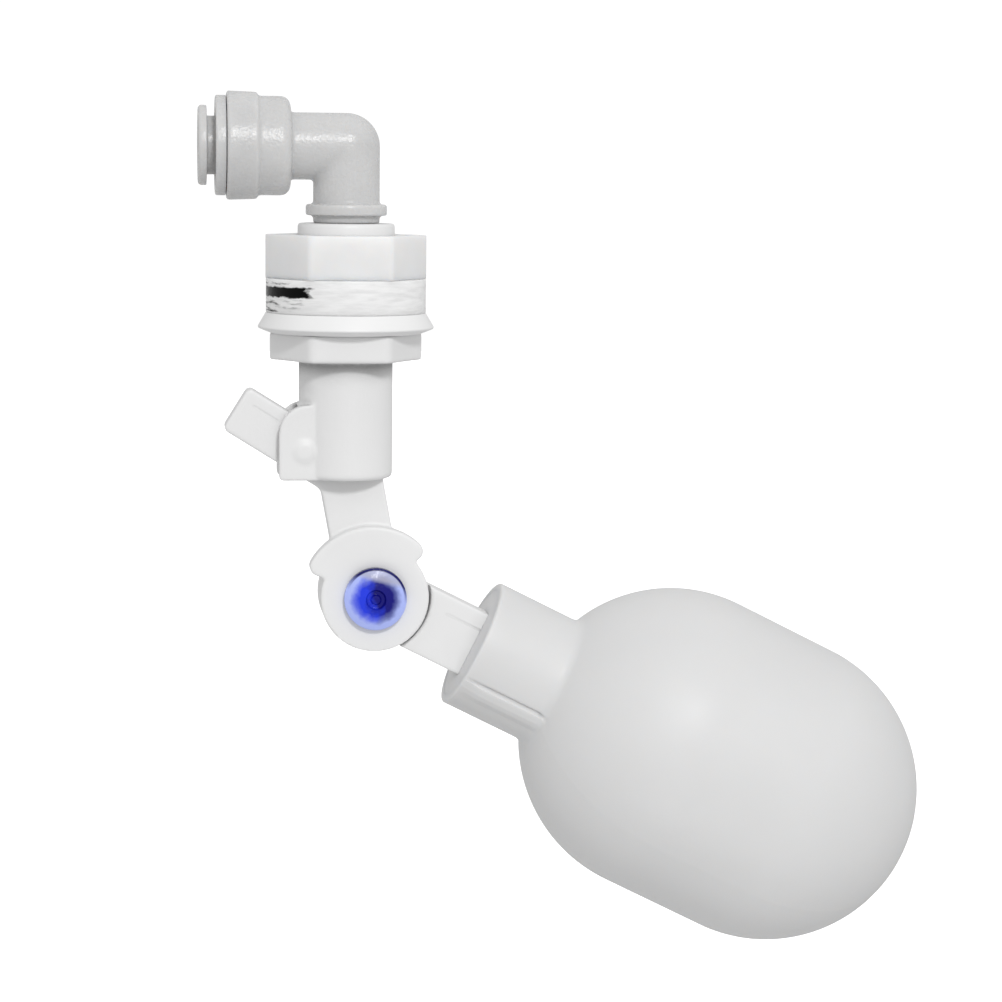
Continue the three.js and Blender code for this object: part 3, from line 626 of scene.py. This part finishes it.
def build_valve_body():
    barrel = lathe("valve_body_moulding", rounded(
        [(0, BODY_BOTTOM, 0), (BODY_R, BODY_BOTTOM, 0.7),
         (BODY_R, FLANGE_BOTTOM + 1, 0), (0, FLANGE_BOTTOM + 1, 0)], closed=False))
    stem = lathe("stem", rounded(
        [(0, -1, 0), (STEM_R, -1, 0), (STEM_R, STEM_TOP, 0.35), (0, STEM_TOP, 0)], closed=False))
    side = rounded([(EAR_LEFT, EAR_BOTTOM, 0.5), (EAR_RIGHT, EAR_BOTTOM, 0), (EAR_RIGHT, EAR_TOP, 0),
                    (EAR_LEFT, EAR_TOP, EAR_CORNER)], steps=10)
    flange = hexagon("flange", FLANGE_FLATS, FLANGE_BOTTOM, 0, 1.5)
    combine(barrel, [stem, flange, prism("ears", side, -EAR_OUT, EAR_OUT)], "UNION")
    chamber = rod("chamber", CHAMBER_R, EAR_BOTTOM - 1, CHAMBER_TOP)
    combine(chamber, [rod("nozzle", NOZZLE_R, NOZZLE_TIP, CHAMBER_TOP + 1)], "DIFFERENCE")
    holes = [
        chamber,
        rod("stem_bore", STEM_BORE_R, STEM_BORE_FLOOR, STEM_TOP + 1),
        rod("nozzle_bore", NOZZLE_BORE_R, NOZZLE_TIP - 1, STEM_BORE_FLOOR + 1),
        block("slot", (EAR_LEFT - 1, -EAR_IN, EAR_BOTTOM - 1), (0, EAR_IN, SLOT_TOP)),
        block("notch", (-1, -NOTCH_HALF, BODY_BOTTOM - 1), (NOTCH_RIGHT, NOTCH_HALF, NOTCH_TOP)),
        along_y(rod("pin_hole", PIN_R + PIN_CLEAR, -EAR_OUT - 1, EAR_OUT + 1), PIVOT.x, PIVOT.z),
    ]
    combine(barrel, holes, "DIFFERENCE")
    combine(barrel, pivot_bosses(), "UNION")
    finish_piece(mould(barrel), "body", "valve_body", WHITE, smooth_angle=0)


def build_lock_nut():
    nut = hexagon("lock_nut_moulding", NUT_FLATS, NUT_BOTTOM, NUT_TOP, 1.1)
    combine(nut, [rod("nut_bore", NUT_BORE_R, NUT_BOTTOM - 1, NUT_TOP + 1)], "DIFFERENCE")
    bevel(nut, 0.22)
    finish_piece(nut, "body", "lock_nut", NYLON)


def build_gaskets():
    clear = lathe("clear_gasket_ring", rounded(
        [(NUT_BORE_R, GASKET_BOTTOM, 0), (GASKET_R, GASKET_BOTTOM, 0.15),
         (GASKET_R, GASKET_TOP, 0.12), (NUT_BORE_R, GASKET_TOP, 0)]))
    finish_piece(clear, "body", "clear_gasket", SILICONE_CLEAR)
    flared = lathe("flared_gasket_ring", rounded(
        [(NUT_BORE_R, GASKET_SEAT, 0.1), (FLARE_FOOT_R, GASKET_SEAT, 0.1), (FLARE_R, FLARE_WIDE, 0.25),
         (GASKET_R, FLARE_TOP, 0.15), (NUT_BORE_R, FLARE_TOP, 0.1)]))
    finish_piece(flared, "body", "flared_gasket", SILICONE)


def build_pivot_pin():
    """The pin ends inside the ears, under their bosses."""
    reach = EAR_OUT - PIN_SUNK
    outline = [(0, -reach, 0), (PIN_R, -reach, 0.2), (PIN_R, reach, 0.2), (0, reach, 0)]
    pin = along_y(lathe("pivot_pin_rod", rounded(outline, closed=False), ROUND_SMALL), PIVOT.x, PIVOT.z)
    finish_piece(pin, "body", "pivot_pin", WHITE)


# ---------------------------------------------------------------- inlet elbow


def build_elbow():
    elbow = along_x(lathe("elbow_moulding", rounded(
        [(0, BAND_LEFT, 0), (BAND_R_LEFT, BAND_LEFT, 0.25), (BAND_R_RIGHT, BAND_RIGHT, 0.3),
         (SOCKET_R, BAND_RIGHT, 0), (SOCKET_R, SOCKET_RIGHT, 1.3), (0, SOCKET_RIGHT, 0)],
        closed=False)), ELBOW_Z)
    parts = [
        along_x(rod("pipe", PIPE_R, SOCKET_RIGHT - 1, 0), ELBOW_Z),
        ball("corner", PIPE_R, ELBOW_Z),
        rod("drop", PIPE_R, NECK_BOTTOM, ELBOW_Z),
        lathe("collar", rounded([(0, COLLAR_BOTTOM, 0), (COLLAR_R, COLLAR_BOTTOM, 0.2),
                                 (COLLAR_R, COLLAR_TOP, 0.2), (0, COLLAR_TOP, 0)], closed=False)),
        rod("spigot", SPIGOT_R, SPIGOT_BOTTOM, NECK_BOTTOM + 1),
    ]
    combine(elbow, parts, "UNION")
    groove = lathe("groove", [(SPIGOT_GROOVE_R, SPIGOT_GROOVE[0]), (SPIGOT_R + 1, SPIGOT_GROOVE[0]),
                              (SPIGOT_R + 1, SPIGOT_GROOVE[1]), (SPIGOT_GROOVE_R, SPIGOT_GROOVE[1])])
    holes = [
        groove,
        rod("bore_down", PIPE_BORE_R, SPIGOT_BOTTOM - 1, ELBOW_Z, ROUND_SMALL),
        along_x(rod("bore_across", PIPE_BORE_R, TUBE_STOP - 1, 0, ROUND_SMALL), ELBOW_Z),
        along_x(rod("tube_seat", TUBE_BORE_R, CARTRIDGE_END - 1, TUBE_STOP, ROUND_SMALL), ELBOW_Z),
        along_x(rod("cartridge", CARTRIDGE_R, BAND_LEFT - 1, CARTRIDGE_END), ELBOW_Z),
    ]
    combine(elbow, holes, "DIFFERENCE")
    finish_piece(mould(elbow), "elbow", "elbow_body", ACETAL, smooth_angle=0)


def build_push_fitting():
    cap = along_x(lathe("collet_cap_ring", rounded(
        [(CAP_BORE_R, CAP_LEFT, 0.3), (CAP_R, CAP_LEFT, 0.3), (CAP_R, CAP_RIGHT, 0.1),
         (CAP_SKIRT_R, CAP_RIGHT, 0), (CAP_SKIRT_R, CAP_SKIRT_END, 0.1),
         (CAP_BORE_R, CAP_SKIRT_END, 0.1)])), ELBOW_Z)
    finish_piece(cap, "elbow", "collet_cap", ACETAL)
    flange_right = COLLET_LEFT + COLLET_FLANGE
    collet = along_x(lathe("collet_sleeve", rounded(
        [(TUBE_BORE_R, COLLET_LEFT, 0.35), (COLLET_FLANGE_R, COLLET_LEFT, 0.5),
         (COLLET_FLANGE_R, flange_right, 0.15), (COLLET_BARREL_R, flange_right, 0.2),
         (COLLET_BARREL_R, COLLET_END, 0.1), (TUBE_BORE_R, COLLET_END, 0.1)])), ELBOW_Z)
    finish_piece(collet, "collet", "collet", ACETAL)


# ---------------------------------------------------------------- lever


def lever_outline():
    pivot, joint = Vector((PIVOT.x, PIVOT.z)), Vector((JOINT.x, JOINT.z))
    top = line_through(pivot, -BAR_SLOPE, BAR_WIDTH / 2)
    bottom = line_through(pivot, -BAR_SLOPE, -BAR_WIDTH / 2)
    end = line_through(pivot, 90 - BAR_SLOPE, TAB_LENGTH)
    leg_right = line_through(joint, LEG_LEAN - 90, LEG_RIGHT)
    leg_left = line_through(joint, LEG_LEAN - 90, -LEG_LEFT)
    foot = line_through(joint, LEG_LEAN)
    corners = [(top, end, 0.8), (bottom, end, 0.8), (bottom, leg_left, 2.2),
               (foot, leg_left, 0), (foot, leg_right, 0), (top, leg_right, 1.2)]
    return rounded([(*crossing(a, b), r) for a, b, r in corners], steps=8)


def lug_outline():
    """A sector whose two outer corners are rounded."""
    middle, height = JOINT.x - LUG_SHIFT, JOINT.z
    inset = math.degrees(LUG_CORNER / LUG_R)
    near, far, inner = LUG_FROM + inset, LUG_TO - inset, LUG_R - LUG_CORNER

    def corner(angle, start):
        a = math.radians(angle)
        across, up = middle + inner * math.cos(a), height + inner * math.sin(a)
        return arc(across, up, LUG_CORNER, start, start + 90, 8)

    rim = arc(middle, height, LUG_R, near, far, 40)[1:-1]
    return [Vector((middle, height))] + corner(near, near - 90) + rim + corner(far, far)


def groove_line(name, start, slope, length):
    """A fine cutter along a line on the front face, from start (x, z)."""
    cutter = block(name, (0, -GROOVE_DEPTH, -GROOVE_WIDTH / 2), (length, GROOVE_DEPTH, GROOVE_WIDTH / 2))
    turn = Matrix.Rotation(math.radians(slope), 4, "Y")
    return moved(cutter, Matrix.Translation((start.x, -LEVER_HALF, start.y)) @ turn)


def build_lever():
    lever = prism("lever_moulding", lever_outline(), -LEVER_HALF, LEVER_HALF)
    clearance = along_y(rod("lap", HEAD_CLEAR_R, -LAP_GAP, HEAD_FRONT + 1), JOINT.x, JOINT.z)
    combine(lever, [clearance], "DIFFERENCE")
    head = along_y(rod("head", HEAD_R, -HEAD_FRONT, -LAP_GAP), JOINT.x, JOINT.z)
    lugs = prism("lugs", lug_outline(), -HEAD_FRONT, -LUG_BACK)
    combine(lever, [head, lugs], "UNION")
    along = Vector((math.cos(math.radians(BAR_SLOPE)), -math.sin(math.radians(BAR_SLOPE))))
    up = Vector((-along.y, along.x))
    start = Vector((PIVOT.x, PIVOT.z)) - along * (TAB_LENGTH - TAB_LINE_INSET) + up * TAB_LINE_RISE
    pivot_hole = rod("pivot_hole", PIN_R + PIN_CLEAR, -HEAD_FRONT, HEAD_FRONT, ROUND_SMALL)
    screw_hole = rod("screw_hole", SCREW_HOLE_R, -HEAD_FRONT - 1, HEAD_FRONT, ROUND_SMALL)
    holes = [along_y(pivot_hole, PIVOT.x, PIVOT.z), along_y(screw_hole, JOINT.x, JOINT.z)]
    combine(lever, holes, "DIFFERENCE")
    combine(mould(lever), [groove_line("tab_line", start, BAR_SLOPE, TAB_LINE_LENGTH)], "DIFFERENCE")
    finish_piece(lever, "lever", "lever_arm", ARM_WHITE)


# ---------------------------------------------------------------- float arm, built along +X, then swung


def swing(obj):
    """From the arm's own frame, +X along the arm, to its place."""
    turn = Matrix.Rotation(math.radians(ARM_SLOPE), 4, "Y")
    return moved(obj, Matrix.Translation((JOINT.x, 0, JOINT.z)) @ turn)


def build_float_arm():
    half = ARM_WIDTH / 2
    arm = block("float_arm_moulding", (0, -LEVER_HALF, -half), (ARM_END, LEVER_HALF, half))
    combine(arm, [along_y(rod("lap", HEAD_CLEAR_R, -HEAD_FRONT - 1, LAP_GAP))], "DIFFERENCE")
    combine(arm, [along_y(rod("head", HEAD_R, LAP_GAP, HEAD_FRONT))], "UNION")
    combine(arm, [along_y(rod("screw_hole", SCREW_HOLE_R, -1, HEAD_FRONT + 1, ROUND_SMALL))], "DIFFERENCE")
    combine(mould(arm), [groove_line("arm_line", Vector(ARM_LINE), 0, ARM_END)], "DIFFERENCE")
    finish_piece(swing(arm), "float_arm", "float_arm", ARM_WHITE)


def build_joint_screw():
    back = HEAD_FRONT + SCREW_SEAT
    front = back + SCREW_HEAD
    side = front - SCREW_DOME
    sphere = (SCREW_HEAD_R ** 2 + SCREW_DOME ** 2) / (2 * SCREW_DOME)
    dome = [(r, front - sphere + math.sqrt(sphere ** 2 - r ** 2), 0) for r in SCREW_DOME_RINGS]
    recess = [(r, front - depth, edge) for r, depth, edge in SCREW_RECESS]
    outline = rounded([
        (0, -SCREW_END, 0), (SCREW_R, -SCREW_END, 0.3), (SCREW_R, back, 0.1), (SCREW_HEAD_R, back, 0.15),
        (SCREW_HEAD_R, side, 0.12), *dome, *recess], closed=False)
    screw = moved(lathe("joint_screw_clear", outline), Matrix.Rotation(math.pi / 2, 4, "X"))
    finish_piece(swing(screw), "joint_screw", "joint_screw", BLUE)


def build_joint_nut():
    back = HEAD_FRONT + SCREW_SEAT
    nut = hexagon("joint_nut_moulding", JOINT_NUT_FLATS, -back - JOINT_NUT, -back, 0.4)
    bore = rod("nut_bore", JOINT_NUT_BORE_R, -back - JOINT_NUT - 1, -back + 1, ROUND_SMALL)
    combine(nut, [bore], "DIFFERENCE")
    bevel(nut, 0.3)
    moved(nut, Matrix.Rotation(math.pi / 2, 4, "X"))
    finish_piece(swing(nut), "float_arm", "joint_nut", NYLON)


def build_neck_plug():
    radius = NECK_R - FLOAT_WALL + PLUG_GAP
    plug = along_x(rod("neck_plug_disc", radius, NECK_START + PLUG_GAP, NECK_START + PLUG_LENGTH))
    slot = block("slot", (NECK_START - 1, -LEVER_HALF - PLUG_GAP, -ARM_WIDTH / 2 - PLUG_GAP),
                 (NECK_START + PLUG_LENGTH + 1, LEVER_HALF + PLUG_GAP, ARM_WIDTH / 2 + PLUG_GAP))
    combine(plug, [slot], "DIFFERENCE")
    finish_piece(swing(plug), "float_arm", "neck_plug", FLOAT_WHITE)


# Turning the lathe's Z axis to X takes its +X to -Z: an angle on the lathe is counted from straight down.
RIB_CENTRE = math.radians(RIB_ANGLE - 90)


def parting_relief(radius, x, angle):
    """The float's radius with the neck's rib and, on both sides, the fine mould line that runs on."""
    if radius < NECK_R - 0.3:
        return radius
    across = math.atan2(math.sin(angle - RIB_CENTRE), math.cos(angle - RIB_CENTRE))
    off_line = min(abs(across), math.pi - abs(across)) * radius
    relief = LINE_HEIGHT * (math.exp(-((off_line / LINE_WIDTH) ** 2)) - 1)
    if RIB_START < x < RIB_END and radius < NECK_R + 1.5:
        fade = min(1.0, (x - RIB_START) / RIB_FADE_IN, (RIB_END - x) / RIB_FADE_OUT)
        off_rib = -across * radius
        top = min(1.0, max(0.0, (RIB_WIDTH / 2 - off_rib) / RIB_TOP_EDGE + 0.5))
        foot = min(1.0, max(0.0, (RIB_WIDTH / 2 + off_rib) / RIB_FOOT_EDGE + 0.5))
        off_groove = off_rib - RIB_WIDTH / 2 - RIB_GROOVE_WIDTH
        groove = math.exp(-((off_groove / RIB_GROOVE_WIDTH) ** 2))
        relief += fade * (RIB_HEIGHT * min(top, foot) - RIB_GROOVE * groove)
    return radius + relief


def lathe_shell(name, shell, hollow):
    """A turned skin, from the mouth over the outside to the tip, and back along the inside to the mouth."""
    outline = shell + hollow
    bm = bmesh.new()
    sides = ROUND_FLOAT
    rows = []
    for r, z in outline:
        if r < 1e-6:
            rows.append([bm.verts.new((0, 0, z))] * sides)
            continue
        row = []
        for k in range(sides):
            angle = 2 * math.pi * k / sides
            radius = parting_relief(r, z, angle)
            row.append(bm.verts.new((radius * math.cos(angle), radius * math.sin(angle), z)))
        rows.append(row)
    tip = len(shell)
    for i in range(len(rows)):
        if i + 1 == tip:
            continue
        low, high = rows[i], rows[(i + 1) % len(rows)]
        for k in range(sides):
            n = (k + 1) % sides
            corners = list(dict.fromkeys([low[k], low[n], high[n], high[k]]))
            if len(corners) > 2:
                bm.faces.new(corners)
    return new_object(name, bm)


def build_float():
    inner_r, inner_neck = FLOAT_R - FLOAT_WALL, NECK_R - FLOAT_WALL
    junction = FLOAT_NEAR - math.sqrt(FLOAT_R ** 2 - NECK_R ** 2)
    inner_junction = FLOAT_NEAR - math.sqrt(inner_r ** 2 - inner_neck ** 2)
    start = math.degrees(math.acos((junction - FLOAT_NEAR) / FLOAT_R))
    inner_start = math.degrees(math.acos((inner_junction - FLOAT_NEAR) / inner_r))
    near = arc(FLOAT_NEAR, 0, FLOAT_R, start - 5, 90, 40)
    far = arc(FLOAT_FAR, 0, FLOAT_R, 90, 0, 44)
    inside_far = arc(FLOAT_FAR, 0, inner_r, 0, 90, 20)
    inside_near = arc(FLOAT_NEAR, 0, inner_r, 90, inner_start, 20)
    lip = rounded([(inner_neck, NECK_START + 1, 0), (inner_neck, NECK_START, 0), (NECK_R, NECK_START, 0.35),
                   (NECK_R, NECK_START + 3, 0)], closed=False)
    neck = [Vector((NECK_R, NECK_START + 3 + k)) for k in range(1, int(junction - NECK_START - 4))]
    outside = [Vector((p.y, p.x)) for p in near + far[1:-1]]
    inside = [Vector((p.y, p.x)) for p in inside_far[1:] + inside_near[1:]]
    fillet = rounded([(NECK_R, junction - 2, 0), (NECK_R, junction, FLOAT_FILLET), (*outside[0], 0)],
                     closed=False, steps=8)
    outline = lip + neck + fillet[1:-1] + outside
    outline += [Vector((0, FLOAT_FAR + FLOAT_R))]
    shell = [(p.x, p.y) for p in outline]
    hollow = [(0, FLOAT_FAR + inner_r)] + [(p.x, p.y) for p in inside]
    obj = lathe_shell("float_moulding", shell, hollow)
    finish_piece(swing(along_x(obj)), "float_arm", "float_shell", FLOAT_WHITE,
                 smooth_angle=50)


# ---------------------------------------------------------------- stage


def build_stage():
    """A pale floor, seen by the camera only, so that it neither lights the object nor shades it."""
    floor = block("floor", (-FLOOR_HALF, -FLOOR_HALF, FLOOR_TOP - 1), (FLOOR_HALF, FLOOR_HALF, FLOOR_TOP))
    floor.data.transform(Matrix.Scale(MM, 4))
    material, _, shader = node_tree("pale_floor")
    shader.inputs["Base Color"].default_value = (0.9, 0.9, 0.9, 1)
    shader.inputs["Roughness"].default_value = 0.9
    shader.inputs["Emission Color"].default_value = (1, 1, 1, 1)
    shader.inputs["Emission Strength"].default_value = FLOOR_GLOW
    floor.data.materials.append(material)
    floor.visible_diffuse = False
    floor.visible_glossy = False
    floor.visible_shadow = False


def build_world():
    """A white surround to the eye; as a light, a soft dome that is brighter above than below."""
    world = bpy.data.worlds.new("studio")
    bpy.context.scene.world = world
    world.use_nodes = True
    tree = world.node_tree
    background = tree.nodes["Background"]
    background.inputs["Color"].default_value = (1, 1, 1, 1)
    place = tree.nodes.new("ShaderNodeTexCoord")
    split = tree.nodes.new("ShaderNodeSeparateXYZ")
    dome = tree.nodes.new("ShaderNodeMapRange")
    dome.inputs["From Min"].default_value = -1.0
    dome.inputs["To Min"].default_value = DOME_BELOW
    dome.inputs["To Max"].default_value = DOME_ABOVE
    path = tree.nodes.new("ShaderNodeLightPath")
    seen = tree.nodes.new("ShaderNodeMix")
    seen.inputs["B"].default_value = BACKDROP
    tree.links.new(place.outputs["Generated"], split.inputs["Vector"])
    tree.links.new(split.outputs["Z"], dome.inputs["Value"])
    tree.links.new(path.outputs["Is Camera Ray"], seen.inputs["Factor"])
    tree.links.new(dome.outputs["Result"], seen.inputs["A"])
    tree.links.new(seen.outputs["Result"], background.inputs["Strength"])


def bearing(azimuth, elevation):
    """Unit vector from the object, azimuth 0 to the front and growing to +X, in degrees."""
    a, e = math.radians(azimuth), math.radians(elevation)
    return Vector((math.sin(a) * math.cos(e), -math.cos(a) * math.cos(e), math.sin(e)))


def softbox(name, azimuth, elevation, distance, size, power):
    """A square area light aimed at the object from an azimuth (0 is the front) and an elevation."""
    data = bpy.data.lights.new(name, "AREA")
    data.shape = "SQUARE"
    data.size = size * MM
    data.energy = power
    light = bpy.data.objects.new(name, data)
    bpy.context.scene.collection.objects.link(light)
    away = bearing(azimuth, elevation)
    light.location = (CAMERA_AIM + away * distance) * MM
    light.rotation_euler = away.to_track_quat("Z", "Y").to_euler()


def spot(name, azimuth, elevation, distance, power):
    """A narrow lamp aimed at the float."""
    data = bpy.data.lights.new(name, "SPOT")
    data.energy = power
    data.spot_size = math.radians(FILL_ANGLE)
    data.spot_blend = FILL_BLEND
    data.shadow_soft_size = FILL_RADIUS
    light = bpy.data.objects.new(name, data)
    bpy.context.scene.collection.objects.link(light)
    away = bearing(azimuth, elevation)
    low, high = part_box("float_shell")
    light.location = (low + high) / 2 + away * distance * MM
    light.rotation_euler = away.to_track_quat("Z", "Y").to_euler()


def build_camera():
    away = bearing(CAMERA_AZIMUTH, CAMERA_ELEVATION)
    data = bpy.data.cameras.new("camera")
    data.lens = CAMERA_LENS
    data.clip_start = 0.01
    camera = bpy.data.objects.new("camera", data)
    bpy.context.scene.collection.objects.link(camera)
    roll = Matrix.Rotation(math.radians(CAMERA_ROLL), 4, "Z")
    turn = away.to_track_quat("Z", "Y").to_matrix().to_4x4()
    camera.matrix_world = Matrix.Translation((CAMERA_AIM + away * CAMERA_DISTANCE) * MM) @ turn @ roll
    bpy.context.scene.camera = camera


build_camera()
build_world()
build_stage()
softbox("key", **KEY)
spot("float_fill", **FILL)

build_valve_body()
build_lock_nut()
build_gaskets()
build_pivot_pin()
build_elbow()
build_push_fitting()
build_lever()
build_float_arm()
build_joint_screw()
build_joint_nut()
build_neck_plug()
build_float()

for node, material in (("grip_ring", STEEL), ("tube_o_ring", RUBBER), ("stem_o_ring", RUBBER),
                       ("seal_pad", RUBBER), ("plunger", ACETAL)):
    mesh = frame["nodes"][node].data
    mesh.materials.clear()
    mesh.materials.append(material)

bpy.context.scene.view_settings.view_transform = "Standard"
